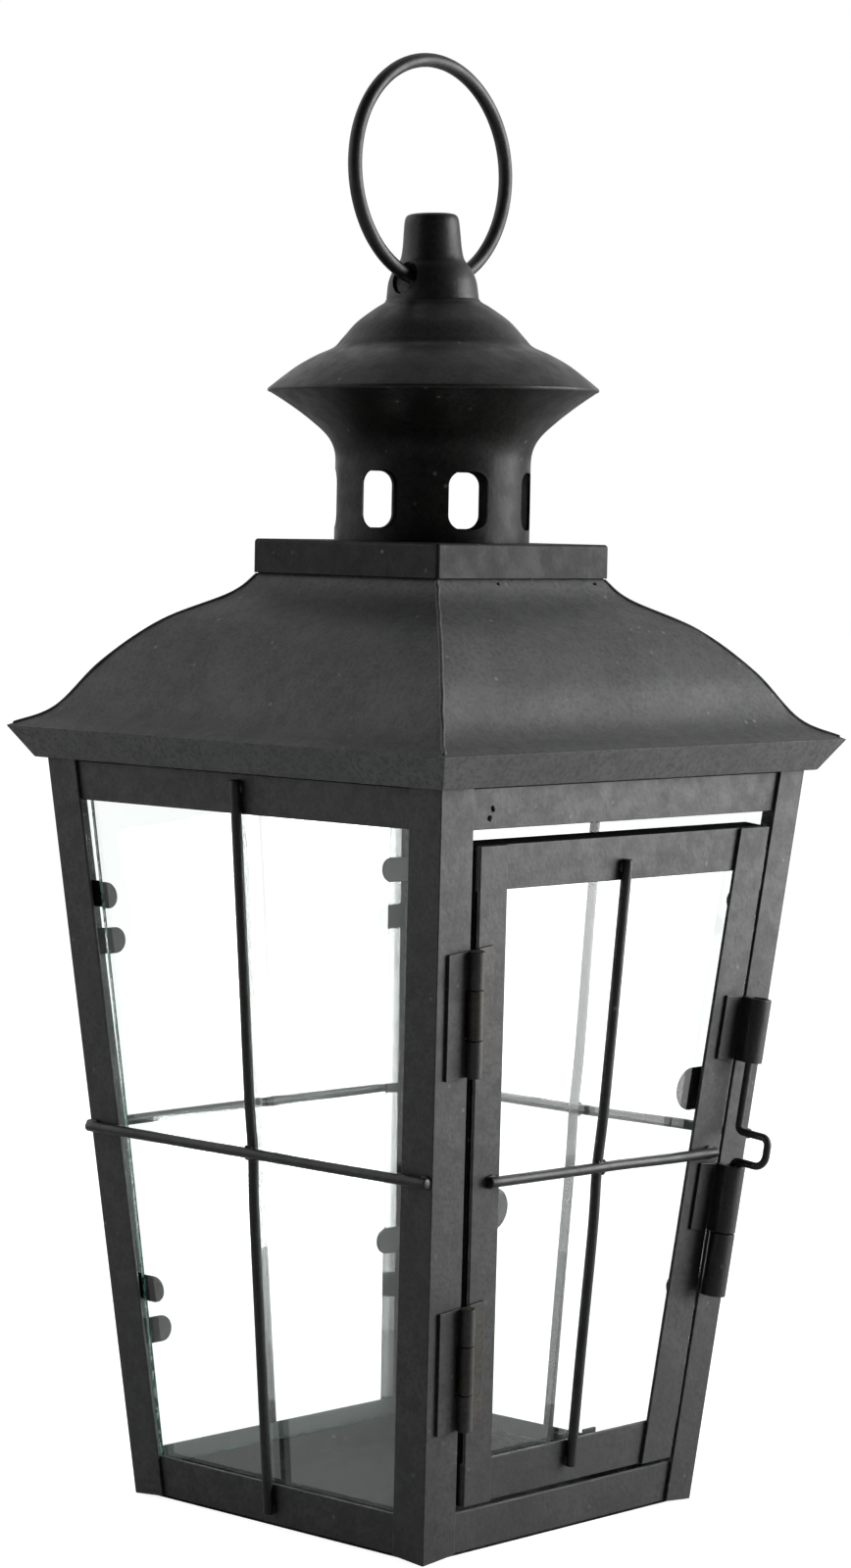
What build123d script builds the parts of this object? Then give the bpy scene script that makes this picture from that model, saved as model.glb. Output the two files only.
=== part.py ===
from build123d import *

import os
from math import atan, cos, degrees, sin

# Candle lantern: a square body of folded sheet that leans outwards, glazed on four sides,
# under a hipped roof with a round vented chimney, a spun cap and a hanging ring.
# Millimetres, +Z up, origin in the middle of the underside. The door is on the -Y side.

# Body
base_width = 100.0
shoulder_width = 135.0
body_height = 187.25
sheet = 0.9
post_stock = 200.0
post_leg = 10.1
hinge_post_leg = 11.2
latch_post_leg = 9.6
bottom_rail_low = 1.0
bottom_rail_high = 11.1
top_rail_low = 177.8
top_rail_high = 187.6
tray_sheet = 0.8
tray_height = 6.5

# Glazing
glass = 2.0
fit_gap = 0.1
pane_edge_cover = 4.9
pane_low = 6.8
pane_high = 186.0
left_pane_rear_low = 41.6
left_pane_rear_high = 55.2
clip_sheet = 0.8
clip_height = 6.6
clip_reach = 15.8
clip_root_gap = 0.4
hidden_clip_reach = 9.4
clip_levels_left = (53.6, 153.5)
clip_levels_right = (41.3, 141.0)

# Glazing bars
wire = 2.6
bar_low = 3.9
bar_high = 186.0
bar_level = 94.7
bar_end_gap = 0.6

# Door
hinge_gap = 2.8
latch_gap = 1.2
door_low = 12.5
door_high = 174.0
hinge_stile = 9.5
latch_stile = 11.2
door_rail = 10.8
door_return = 6.0
door_return_gap = 0.1
door_pane_inset = 3.0
door_clip_height = 10.8
door_clip_reach = 16.2
door_clip_web_inset = 1.6
door_clip_level_left = 84.6
door_clip_level_right = 107.6
door_foot_width = 4.6
door_foot_gap = 0.1
door_feet = ((-0.6, 24.7), (11.1, 23.9))  # middle and top of each foot behind the pane
door_bar_x = 0.7
door_bar_low = 17.1
door_bar_high = 168.2
door_cross_left = (-39.8, 93.0)
door_cross_right = (44.6, 91.6)

# Hinges
hinge_height = 30.4
hinge_levels = (33.0, 120.0)
hinge_leaf_sheet = 0.8
frame_leaf_width = 8.0
door_leaf_width = 7.4
hinge_stand_off = 2.1
knuckle_radius = 1.85
knuckle_bore_radius = 0.95
hinge_pin_radius = 0.85
outer_knuckle = 9.0
knuckle_gap = 0.25
leaf_relief = 2.2

# Sliding wire bolt
bolt_from_post_edge = 0.85
bolt_stand_off = 3.6
sleeve_radius = 3.2
sleeve_bore_radius = 2.3
sleeve_plate_sheet = 0.8
door_plate_reach = 9.3
keeper_plate_reach = 7.6
sleeve_web = (1.2, 3.2)
upper_sleeve = (115.2, 131.4)
lower_sleeve = (71.6, 88.6)
keeper_sleeve = (55.3, 71.3)
bolt_wire = 1.9
bolt_foot = 56.3
bolt_top = 122.0
loop_low = 89.9
loop_height = 7.6
loop_reach = 9.8
bolt_bends = [1.6, 3.2, 2.0, 1.6]

# Roof
eave_width = 150.0
eave_foot_width = 139.6
eave_height = 7.95
eave_opening = 116.0
roof_height = 39.3
roof_top_width = 62.8
roof_wall = 1.3
roof_curve = ((66.4, 4.6), (58.3, 16.2), (48.0, 26.5), (35.6, 33.8))  # from the middle, above the eave
roof_foot_slope = (1, 0.3)
roof_top_slope = (0.15, 1)
collar_width = 63.2
collar_height = 8.5
collar_rounding = 0.9
chimney_hole_radius = 22.0

# Chimney, cap and ring
chimney_radius = 24.5
chimney_wall = 0.8
chimney_flare = 19.8
chimney_rim_radius = 41.0
chimney_height = 37.3
chimney_curve = (29.3, 9.0)  # radius, above the foot of the flare
chimney_rim_slope = (1, 0.62)
slot_width = 10.5
slot_height = 14.4
slot_corner = 3.6
slot_level = 10.4
slot_count = 6
slot_pitch = 54.7
first_slot = 25.9
cap_radius = 41.5
cap_lip = 0.8
cap_height = 23.1
cap_wall = 0.7
cap_brim_curve = (33.7, 6.7)  # radius, above the rim of the chimney
cap_bell_curve = (19.2, 17.8)
bell_radius = 25.1
bell_level = 10.9
finial_foot_radius = 11.6
finial_top_radius = 6.5
finial_height = 21.3
finial_wall = 1.3
finial_skirt = 0.8
finial_curve = ((10.8, 5.2), (8.2, 9.5), (7.4, 13.2))  # radius, above the top of the cap
finial_rounding = 1.0
ring_hole_radius = 4.0
ring_hole_level = 5.1
ring_radius = 27.5
ring_wire = 3.5
ring_center_level = 31.8

base_half = base_width / 2
spread = (shoulder_width - base_width) / 2
lean = atan(spread / body_height)
roof_level = body_height + eave_height
collar_level = roof_level + roof_height
chimney_level = collar_level + collar_height
cap_level = chimney_level + chimney_height
finial_level = cap_level + cap_height
back_of_rails = -2 * sheet
face_of_glass = back_of_rails - fit_gap
back_of_glass = face_of_glass - glass
side_turns = {"front": 0, "right": 90, "rear": 180, "left": 270}
glazed_sides = ("right", "rear", "left")

os.makedirs("parts", exist_ok=True)


def half_width(height):
    """Half of a side's width, height mm up its slope."""
    return base_half + sin(lean) * height


def side_plane(turn, out=0.0):
    """Plane of one leaning side as seen from outside: x to the right, y up the slope, z out."""
    right = Vector(1, 0, 0).rotate(Axis.Z, turn)
    outward = Vector(0, -cos(lean), -sin(lean)).rotate(Axis.Z, turn)
    foot = Vector(0, -base_half, 0).rotate(Axis.Z, turn)
    return Plane(origin=foot + outward * out, x_dir=right, z_dir=outward)


def corner_direction(turn):
    """Direction of the corner edge at the left end of a side."""
    return Vector(-spread, -spread, body_height).normalized().rotate(Axis.Z, turn)


def edge_plane(turn, foot_x, out, direction):
    """Plane square to a line that follows a corner edge: x to the right, y inwards, z up the line."""
    side = side_plane(turn)
    origin = side.from_local_coords(Vector(foot_x, 0, out))
    return Plane(origin=origin, x_dir=side.z_dir.cross(direction) * -1, z_dir=direction)


def write(piece, label):
    """Label a finished piece and write its file."""
    piece.part.label = label
    export_step(piece.part, f"parts/{label}.step")


# ---------------------------------------------------------------- posts, rails and floor
def corner_post(turn, right_leg, left_leg):
    """Folded angle at the left end of a side, cut square at the foot and level at the top."""
    corner = Vector(-base_half, -base_half, 0).rotate(Axis.Z, turn)
    direction = corner_direction(turn)
    right_side = side_plane(turn).z_dir
    left_side = side_plane(turn - 90).z_dir
    along_right = right_side.cross(direction) * -1
    along_left = left_side.cross(direction)
    fold = (right_side + left_side) * (-sheet / (1 + right_side.dot(left_side)))
    foot = Plane(origin=corner, x_dir=along_right, z_dir=direction)
    outline = [
        Vector(0, 0, 0),
        along_right * right_leg,
        along_right * right_leg - right_side * sheet,
        fold,
        along_left * left_leg - left_side * sheet,
        along_left * left_leg,
    ]
    with BuildPart() as post:
        with BuildSketch(foot):
            with BuildLine():
                Polyline(*[foot.to_local_coords(corner + point) for point in outline], close=True)
            make_face()
        extrude(amount=post_stock)
        split(bisect_by=Plane.XY.offset(body_height), keep=Keep.BOTTOM)
    return post


post_legs = {
    "post_front_left": (0, hinge_post_leg, post_leg),
    "post_front_right": (90, post_leg, latch_post_leg),
    "post_rear_right": (180, post_leg, post_leg),
    "post_rear_left": (270, post_leg, post_leg),
}
for post_name, (turn, right_leg, left_leg) in post_legs.items():
    write(corner_post(turn, right_leg, left_leg), post_name)


def level_strip(turn, low, high, end_gap):
    """Level strip behind the post legs, its ends following the lean of the posts."""
    low_half = half_width(low) - end_gap
    high_half = half_width(high) - end_gap
    with BuildPart() as strip:
        with BuildSketch(side_plane(turn, -sheet)):
            with BuildLine():
                Polyline(
                    (-low_half, low),
                    (low_half, low),
                    (high_half, high),
                    (-high_half, high),
                    close=True,
                )
            make_face()
        extrude(amount=-sheet)
    return strip


for side, turn in side_turns.items():
    end_gap = sheet + fit_gap if side in ("front", "rear") else 2 * sheet + fit_gap
    write(level_strip(turn, bottom_rail_low, bottom_rail_high, end_gap), f"bottom_rail_{side}")
    write(level_strip(turn, top_rail_low, top_rail_high, end_gap), f"top_rail_{side}")

tray_width = base_width - 4 * sheet - 6 * fit_gap
with BuildPart() as floor_tray:
    with BuildSketch(Plane.XY):
        Rectangle(tray_width, tray_width)
    extrude(amount=tray_height, taper=-degrees(lean))
    offset(amount=-tray_sheet, openings=floor_tray.faces().sort_by(Axis.Z)[-1])
write(floor_tray, "floor_tray")


# ---------------------------------------------------------------- fixed panes and their clips
def pane(turn, low, high, edges_low, edges_high):
    """Glass pane with leaning edges, given as left and right x at its foot and at its top."""
    with BuildPart() as glass_pane:
        with BuildSketch(side_plane(turn, face_of_glass)):
            with BuildLine():
                Polyline(
                    (edges_low[0], low),
                    (edges_low[1], low),
                    (edges_high[1], high),
                    (edges_high[0], high),
                    close=True,
                )
            make_face()
        extrude(amount=-glass)
    return glass_pane


def clip_tabs(turn, right_reach):
    """Four round-ended tabs behind a pane, standing off the legs at its two ends."""
    with BuildPart() as tabs:
        for end, levels, reach in (
            (-1, clip_levels_left, clip_reach),
            (1, clip_levels_right, right_reach),
        ):
            for level in levels:
                root = half_width(level) - sheet - clip_root_gap
                tip = half_width(level) - reach + clip_height / 2
                with BuildSketch(side_plane(turn, back_of_glass - fit_gap)):
                    with Locations((end * (root + tip) / 2, level)):
                        Rectangle(root - tip, clip_height)
                    with Locations((end * tip, level)):
                        Circle(clip_height / 2)
                extrude(amount=-clip_sheet)
    return tabs


for side in glazed_sides:
    turn = side_turns[side]
    low_edge = half_width(pane_low) - pane_edge_cover - fit_gap
    high_edge = half_width(pane_high) - pane_edge_cover - fit_gap
    edges_low = (-low_edge, low_edge)
    edges_high = (-high_edge, high_edge)
    if side == "left":
        # this pane is cut narrow and stands towards the door, so a gap shows at the rear post
        edges_low = (-left_pane_rear_low, low_edge)
        edges_high = (-left_pane_rear_high, high_edge)
    write(pane(turn, pane_low, pane_high, edges_low, edges_high), f"pane_{side}")
    right_reach = hidden_clip_reach if side == "left" else clip_reach
    write(clip_tabs(turn, right_reach), f"pane_clips_{side}")


# ---------------------------------------------------------------- glazing bars
def cross_bar(turn, left, right):
    """Round bar across a side, lying on the face of the posts or stiles."""
    side = side_plane(turn, wire / 2)
    start = side.from_local_coords(Vector(left[0], left[1], 0))
    end = side.from_local_coords(Vector(right[0], right[1], 0))
    with BuildPart() as bar:
        with BuildSketch(Plane(origin=start, z_dir=end - start)):
            Circle(wire / 2)
        extrude(amount=(end - start).length)
    return bar


def upright_bar(turn, low, high, crossing):
    """Round bar up a side, lying on the rails and saddled where the cross bar passes over it."""
    side = side_plane(turn, wire / 2 - sheet)
    start = side.from_local_coords(Vector(low[0], low[1], 0))
    end = side.from_local_coords(Vector(high[0], high[1], 0))
    with BuildPart() as bar:
        with BuildSketch(Plane(origin=start, z_dir=end - start)):
            Circle(wire / 2)
        extrude(amount=(end - start).length)
        add(crossing.part, mode=Mode.SUBTRACT)
    return bar


upright_feet = {"right": 0.0, "rear": 0.0, "left": -1.3}
for side in glazed_sides:
    turn = side_turns[side]
    reach = half_width(bar_level) - bar_end_gap
    crossing = cross_bar(turn, (-reach, bar_level), (reach, bar_level))
    write(crossing, f"bar_cross_{side}")
    low = (upright_feet[side], bar_low)
    write(upright_bar(turn, low, (0, bar_high), crossing), f"bar_upright_{side}")


# ---------------------------------------------------------------- door
def door_left(height):
    """Hinge-side edge of the door."""
    return -(half_width(height) - hinge_post_leg - hinge_gap)


def door_right(height):
    """Latch-side edge of the door."""
    return half_width(height) - latch_post_leg - latch_gap


def door_strip(corners, out):
    """Flat strip of the door, its outer face out mm from the face of the posts."""
    with BuildPart() as strip:
        with BuildSketch(side_plane(0, out)):
            with BuildLine():
                Polyline(*corners, close=True)
            make_face()
        extrude(amount=-sheet)
    return strip


door_hinge_stile = door_strip(
    [
        (door_left(door_low), door_low),
        (door_left(door_low) + hinge_stile, door_low),
        (door_left(door_high) + hinge_stile, door_high),
        (door_left(door_high), door_high),
    ],
    0,
)
write(door_hinge_stile, "door_hinge_stile")

door_latch_stile = door_strip(
    [
        (door_right(door_low) - latch_stile, door_low),
        (door_right(door_low), door_low),
        (door_right(door_high), door_high),
        (door_right(door_high) - latch_stile, door_high),
    ],
    0,
)
write(door_latch_stile, "door_latch_stile")

door_rail_levels = {
    "door_bottom_rail": (door_low, door_low + door_rail),
    "door_top_rail": (door_high - door_rail, door_high),
}
for rail_name, (low, high) in door_rail_levels.items():
    rail_corners = [
        (door_left(low), low),
        (door_right(low), low),
        (door_right(high), high),
        (door_left(high), high),
    ]
    write(door_strip(rail_corners, -sheet), rail_name)


def door_return_strip(corners):
    """Return of the door's folded edge, standing inwards from behind the rails."""
    with BuildPart() as strip:
        with BuildSketch(side_plane(0, back_of_rails)):
            with BuildLine():
                Polyline(*corners, close=True)
            make_face()
        extrude(amount=-door_return)
    return strip


door_return_top = door_high - sheet - door_return_gap
door_hinge_return = door_return_strip(
    [
        (door_left(door_low), door_low),
        (door_left(door_low) + sheet, door_low),
        (door_left(door_return_top) + sheet, door_return_top),
        (door_left(door_return_top), door_return_top),
    ]
)
write(door_hinge_return, "door_hinge_return")

door_latch_return = door_return_strip(
    [
        (door_right(door_low) - sheet, door_low),
        (door_right(door_low), door_low),
        (door_right(door_return_top), door_return_top),
        (door_right(door_return_top) - sheet, door_return_top),
    ]
)
write(door_latch_return, "door_latch_return")

door_top_return = door_return_strip(
    [
        (door_left(door_high - sheet), door_high - sheet),
        (door_right(door_high - sheet), door_high - sheet),
        (door_right(door_high), door_high),
        (door_left(door_high), door_high),
    ]
)
write(door_top_return, "door_top_return")

door_pane_low = door_low + door_pane_inset
door_pane_high = door_high - door_pane_inset
door_pane = pane(
    0,
    door_pane_low,
    door_pane_high,
    (door_left(door_pane_low) + door_pane_inset, door_right(door_pane_low) - door_pane_inset),
    (door_left(door_pane_high) + door_pane_inset, door_right(door_pane_high) - door_pane_inset),
)
write(door_pane, "door_pane")

with BuildPart() as door_clips:
    # large round-ended tabs behind the door pane, each bent round its edge from the back of a stile
    for end, level, edge in (
        (-1, door_clip_level_left, door_left(door_clip_level_left)),
        (1, door_clip_level_right, door_right(door_clip_level_right)),
    ):
        web = edge - end * (door_clip_web_inset + clip_sheet / 2)
        root = edge - end * door_clip_web_inset
        tip = edge - end * (door_clip_reach - door_clip_height / 2)
        with BuildSketch(side_plane(0, back_of_glass - fit_gap)):
            with Locations(((root + tip) / 2, level)):
                Rectangle(abs(root - tip), door_clip_height)
            with Locations((tip, level)):
                Circle(door_clip_height / 2)
        extrude(amount=-clip_sheet)
        with BuildSketch(side_plane(0, -sheet)):
            with Locations((web, level)):
                Rectangle(clip_sheet, door_clip_height)
        extrude(amount=back_of_glass - fit_gap + sheet)
write(door_clips, "door_clips")

with BuildPart() as door_foot_clips:
    # small angles behind the bottom rail that carry the foot of the door pane
    ledge_top = door_pane_low - door_foot_gap
    for middle, top in door_feet:
        with BuildSketch(side_plane(0, back_of_glass - fit_gap)):
            with Locations((middle, (ledge_top - clip_sheet + top) / 2)):
                Rectangle(door_foot_width, top - ledge_top + clip_sheet)
        extrude(amount=-clip_sheet)
        with BuildSketch(side_plane(0, back_of_rails)):
            with Locations((middle, ledge_top - clip_sheet / 2)):
                Rectangle(door_foot_width, clip_sheet)
        extrude(amount=back_of_glass - fit_gap - back_of_rails)
write(door_foot_clips, "door_foot_clips")

door_cross = cross_bar(0, door_cross_left, door_cross_right)
write(door_cross, "door_bar_cross")
door_upright = upright_bar(0, (door_bar_x, door_bar_low), (door_bar_x, door_bar_high), door_cross)
write(door_upright, "door_bar_upright")

# ---------------------------------------------------------------- hinges
hinge_line = edge_plane(0, hinge_post_leg - base_half, hinge_stand_off, corner_direction(0))
knuckle_spans = {
    -1: [(0, outer_knuckle), (hinge_height - outer_knuckle, hinge_height)],
    1: [(outer_knuckle + knuckle_gap, hinge_height - outer_knuckle - knuckle_gap)],
}


def hinge_leaf(level, end, width):
    """One leaf of a butt hinge: a plate against the sheet and knuckles rolled round the pin."""
    plate_middle = end * (width + leaf_relief) / 2
    arm_middle = end * leaf_relief / 2
    plate_depth = hinge_stand_off - hinge_leaf_sheet / 2
    with BuildPart() as leaf:
        with BuildSketch(hinge_line.offset(level)):
            with Locations((plate_middle, plate_depth)):
                Rectangle(width - leaf_relief, hinge_leaf_sheet)
        extrude(amount=hinge_height)
        for low, high in knuckle_spans[end]:
            with BuildSketch(hinge_line.offset(level + low)):
                with Locations((arm_middle, plate_depth)):
                    Rectangle(leaf_relief, hinge_leaf_sheet)
                Circle(knuckle_radius)
                Circle(knuckle_bore_radius, mode=Mode.SUBTRACT)
            extrude(amount=high - low)
    return leaf


for place, level in zip(("lower", "upper"), hinge_levels):
    write(hinge_leaf(level, -1, frame_leaf_width), f"hinge_frame_leaf_{place}")
    write(hinge_leaf(level, 1, door_leaf_width), f"hinge_door_leaf_{place}")
    with BuildPart() as hinge_pin:
        with BuildSketch(hinge_line.offset(level)):
            Circle(hinge_pin_radius)
        extrude(amount=hinge_height)
    write(hinge_pin, f"hinge_pin_{place}")

# ---------------------------------------------------------------- bolt and its sleeves
bolt_direction = Vector(spread, -spread, body_height).normalized()
bolt_foot_x = base_half - latch_post_leg + bolt_from_post_edge
bolt_line = edge_plane(0, bolt_foot_x, bolt_stand_off, bolt_direction)


def bolt_sleeve(span, end, plate_reach):
    """Tube for the bolt on a plate that lies on the sheet to its left (-1) or right (1)."""
    low, high = span
    web_near, web_far = sleeve_web
    with BuildPart() as sleeve:
        with BuildSketch(bolt_line.offset(low)):
            Circle(sleeve_radius)
            with Locations((end * (web_near + web_far) / 2, bolt_stand_off / 2)):
                Rectangle(web_far - web_near, bolt_stand_off)
            with Locations((end * (web_near + plate_reach) / 2, bolt_stand_off - sleeve_plate_sheet / 2)):
                Rectangle(plate_reach - web_near, sleeve_plate_sheet)
            Circle(sleeve_bore_radius, mode=Mode.SUBTRACT)
        extrude(amount=high - low)
    return sleeve


write(bolt_sleeve(upper_sleeve, -1, door_plate_reach), "bolt_sleeve_upper")
write(bolt_sleeve(lower_sleeve, -1, door_plate_reach), "bolt_sleeve_lower")
write(bolt_sleeve(keeper_sleeve, 1, keeper_plate_reach), "bolt_keeper")

with BuildPart() as bolt_pin:
    loop_high = loop_low + loop_height
    bend_plane = Plane(
        origin=bolt_line.origin, x_dir=bolt_line.y_dir * -1, z_dir=bolt_line.x_dir * -1
    )
    with BuildLine(bend_plane) as route:
        FilletPolyline(
            (0, bolt_foot),
            (0, loop_low),
            (loop_reach, loop_low),
            (loop_reach, loop_high),
            (0, loop_high),
            (0, bolt_top),
            radius=bolt_bends,
        )
    with BuildSketch(bolt_line.offset(bolt_foot)):
        Circle(bolt_wire / 2)
    sweep(path=route.wires()[0])
write(bolt_pin, "bolt_pin")

# ---------------------------------------------------------------- eave, roof and collar
with BuildPart() as eave_band:
    with BuildSketch(Plane.XY.offset(body_height)):
        Rectangle(eave_foot_width, eave_foot_width)
    extrude(amount=eave_height, taper=-degrees(atan((eave_width - eave_foot_width) / 2 / eave_height)))
    offset(amount=-sheet, openings=eave_band.faces().sort_by(Axis.Z)[-1])
    with BuildSketch(Plane.XY.offset(body_height)):
        Rectangle(eave_opening, eave_opening)
    extrude(amount=eave_height, mode=Mode.SUBTRACT)
write(eave_band, "eave_band")


def ogee(inset):
    """Curve of the roof's side from the eave up to the collar, moved in by inset."""
    return Spline(
        (inset - eave_width / 2, roof_level),
        *[(inset - out, roof_level + up) for out, up in roof_curve],
        (inset - roof_top_width / 2, collar_level),
        tangents=[roof_foot_slope, roof_top_slope],
    )


with BuildPart() as roof_side:
    # one side of the hipped roof, mitred along the diagonals
    with BuildSketch(Plane.YZ):
        with BuildLine():
            outer = ogee(0)
            inner = ogee(roof_wall)
            Line(outer @ 0, inner @ 0)
            Line(outer @ 1, inner @ 1)
        make_face()
    extrude(amount=eave_width / 2, both=True)
    split(bisect_by=Plane(origin=(0, 0, 0), z_dir=(1, 1, 0)), keep=Keep.BOTTOM)
    split(bisect_by=Plane(origin=(0, 0, 0), z_dir=(-1, 1, 0)), keep=Keep.BOTTOM)

with BuildPart() as roof_shell:
    with PolarLocations(0, 4):
        add(roof_side.part)
write(roof_shell, "roof_shell")

with BuildPart() as roof_collar:
    with BuildSketch(Plane.XY.offset(collar_level)):
        Rectangle(collar_width, collar_width)
    extrude(amount=collar_height)
    outer_edges = roof_collar.edges().filter_by(Axis.Z) + roof_collar.edges().group_by(Axis.Z)[-1]
    fillet(outer_edges, collar_rounding)
    with BuildSketch(Plane.XY.offset(collar_level)):
        Rectangle(collar_width - 2 * sheet, collar_width - 2 * sheet)
    extrude(amount=collar_height - sheet, mode=Mode.SUBTRACT)
    with BuildSketch(Plane.XY.offset(collar_level)):
        Circle(chimney_hole_radius)
    extrude(amount=collar_height, mode=Mode.SUBTRACT)
write(roof_collar, "roof_collar")


# ---------------------------------------------------------------- chimney, cap, finial and ring
def chimney_block(shift):
    """Solid inside the chimney's spun profile, moved in and up by shift for the inner face."""
    low = chimney_level - shift
    flare = chimney_level + chimney_flare + shift
    top = chimney_level + chimney_height + shift
    with BuildPart() as block:
        with BuildSketch(Plane.XZ):
            with BuildLine():
                tube = Line((chimney_radius - shift, low), (chimney_radius - shift, flare))
                bell = Spline(
                    tube @ 1,
                    (chimney_curve[0] - shift, flare + chimney_curve[1]),
                    (chimney_rim_radius - shift, top),
                    tangents=[(0, 1), chimney_rim_slope],
                )
                Polyline(bell @ 1, (0, top), (0, low), tube @ 0)
            make_face()
        revolve(axis=Axis.Z)
    return block


with BuildPart() as chimney:
    add(chimney_block(0).part)
    add(chimney_block(chimney_wall).part, mode=Mode.SUBTRACT)
    # one strip punched at an even pitch, rolled up, so the gap across its seam is wider
    for number in range(slot_count):
        angle = first_slot + number * slot_pitch
        outward = Vector(1, 0, 0).rotate(Axis.Z, angle)
        center = Vector(0, 0, chimney_level + slot_level)
        with BuildSketch(Plane(origin=center, x_dir=outward.cross(Vector(0, 0, 1)), z_dir=outward)):
            RectangleRounded(slot_width, slot_height, slot_corner)
        extrude(amount=chimney_radius + chimney_wall, mode=Mode.SUBTRACT)
write(chimney, "chimney")


def cap_block(shift, foot_drop):
    """Solid inside the cap's spun profile of two rounded steps, moved in and down by shift."""

    def point(radius, height):
        return (radius - shift, cap_level + height - shift)

    with BuildPart() as block:
        with BuildSketch(Plane.XZ):
            with BuildLine():
                rim = Line((cap_radius - shift, cap_level - foot_drop), point(cap_radius, cap_lip))
                brim = ThreePointArc(rim @ 1, point(*cap_brim_curve), point(bell_radius, bell_level))
                bell = ThreePointArc(
                    brim @ 1, point(*cap_bell_curve), point(finial_foot_radius, cap_height)
                )
                Polyline(bell @ 1, (0, finial_level - shift), (0, cap_level - foot_drop), rim @ 0)
            make_face()
        revolve(axis=Axis.Z)
    return block


with BuildPart() as cap:
    add(cap_block(0, 0).part)
    add(cap_block(cap_wall, cap_wall).part, mode=Mode.SUBTRACT)
write(cap, "cap")

with BuildPart() as finial:
    for inset, mode in ((0, Mode.ADD), (finial_wall, Mode.SUBTRACT)):
        foot_radius = finial_foot_radius - inset
        top = finial_level + finial_height - inset
        with BuildSketch(Plane.XZ):
            with BuildLine():
                skirt = Line((foot_radius, finial_level), (foot_radius, finial_level + finial_skirt))
                knob = Spline(
                    skirt @ 1,
                    *[(radius - inset, finial_level + up) for radius, up in finial_curve],
                    (finial_top_radius - inset, top),
                    tangents=[(0, 1), (-0.05, 1)],
                )
                Polyline(knob @ 1, (0, top), (0, finial_level), skirt @ 0)
            make_face()
        revolve(axis=Axis.Z, mode=mode)
    fillet(finial.edges().group_by(Axis.Z)[-1], finial_rounding)
    with BuildSketch(Plane.YZ):
        with Locations((0, finial_level + ring_hole_level)):
            Circle(ring_hole_radius)
    extrude(amount=cap_radius, both=True, mode=Mode.SUBTRACT)
write(finial, "finial")

with BuildPart() as hanging_ring:
    with BuildSketch(Plane.XY.offset(finial_level + ring_center_level)):
        with Locations((ring_radius, 0)):
            Circle(ring_wire / 2)
    revolve(axis=Axis((0, 0, finial_level + ring_center_level), (0, 1, 0)))
write(hanging_ring, "hanging_ring")
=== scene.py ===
import math

import bmesh
import bpy
from mathutils import Matrix, Vector, noise
from mathutils.bvhtree import BVHTree


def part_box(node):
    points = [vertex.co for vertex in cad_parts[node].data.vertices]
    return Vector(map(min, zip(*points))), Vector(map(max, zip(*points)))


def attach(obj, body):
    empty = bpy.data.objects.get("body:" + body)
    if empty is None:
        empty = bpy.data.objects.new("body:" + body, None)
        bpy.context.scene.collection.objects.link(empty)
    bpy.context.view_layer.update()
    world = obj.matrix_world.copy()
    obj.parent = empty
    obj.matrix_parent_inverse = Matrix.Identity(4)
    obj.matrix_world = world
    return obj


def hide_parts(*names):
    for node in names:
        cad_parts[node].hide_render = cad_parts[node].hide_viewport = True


# Looks of the candle lantern: black powder-coated sheet, clear panes with green cut edges,
# welded wire bars, spun cap and chimney. Metres, +Z up, door on the -Y side.

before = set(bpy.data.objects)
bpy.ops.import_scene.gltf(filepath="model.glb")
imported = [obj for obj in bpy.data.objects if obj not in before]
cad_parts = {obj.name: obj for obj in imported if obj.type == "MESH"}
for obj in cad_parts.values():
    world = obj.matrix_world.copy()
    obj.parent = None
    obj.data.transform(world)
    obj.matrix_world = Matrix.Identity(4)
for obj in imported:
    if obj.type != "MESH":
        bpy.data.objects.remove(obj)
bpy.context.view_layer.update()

mm = 0.001
sides = {"front": 0, "right": 90, "rear": 180, "left": 270}
post_names = ("front_left", "front_right", "rear_right", "rear_left")
glazed_sides = ("right", "rear", "left")
hinge_places = ("lower", "upper")

# Levels and widths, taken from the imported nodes
roof_low, roof_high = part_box("roof_shell")
cap_low, cap_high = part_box("cap")
finial_low, finial_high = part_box("finial")
ring_low, ring_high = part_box("hanging_ring")
eave_half = roof_high.x

# Glazing bar wire, and how far a folded door edge runs on into the back of its rail
wire_radius = 1.3 * mm
fold_overlap = 0.4 * mm

# Rounding of the folded and cut edges
post_round = 0.28 * mm
rail_round = 0.2 * mm
tray_round = 0.25 * mm
band_round = 0.3 * mm
leaf_round = 0.15 * mm
bolt_round = 0.18 * mm
glass_round = 0.2 * mm
rim_round = 0.3 * mm

# Edges that count as corners turn by more than this, in radians
corner_turn = 0.5
rim_turn = 1.0

# Edges that turn by more than this stay sharp, in degrees
thin_sharp = 30
spun_sharp = 40
sheet_sharp = 50
wire_sharp = 60

# Camera
view_azimuth = -47.06
view_elevation = 5.63
view_distance = 1.0391
view_target = Vector((0, 0, 0.150))
view_yaw = -0.02
view_pitch = 1.76
view_roll = 1.10
lens_mm = 94.41

# Studio
key_direction = Vector((0.74, -0.66, 0.14))
card_direction = Vector((0.74, -0.66, -0.28))
fill_direction = Vector((-0.68, 0.72, 0.36))
surround_rise = 0.25
surround_spread = (0.05, 0.62)
surround_levels = (0.05, 1.10)
floor_tone = 0.40
floor_levels = (0.14, 0.90)


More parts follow.
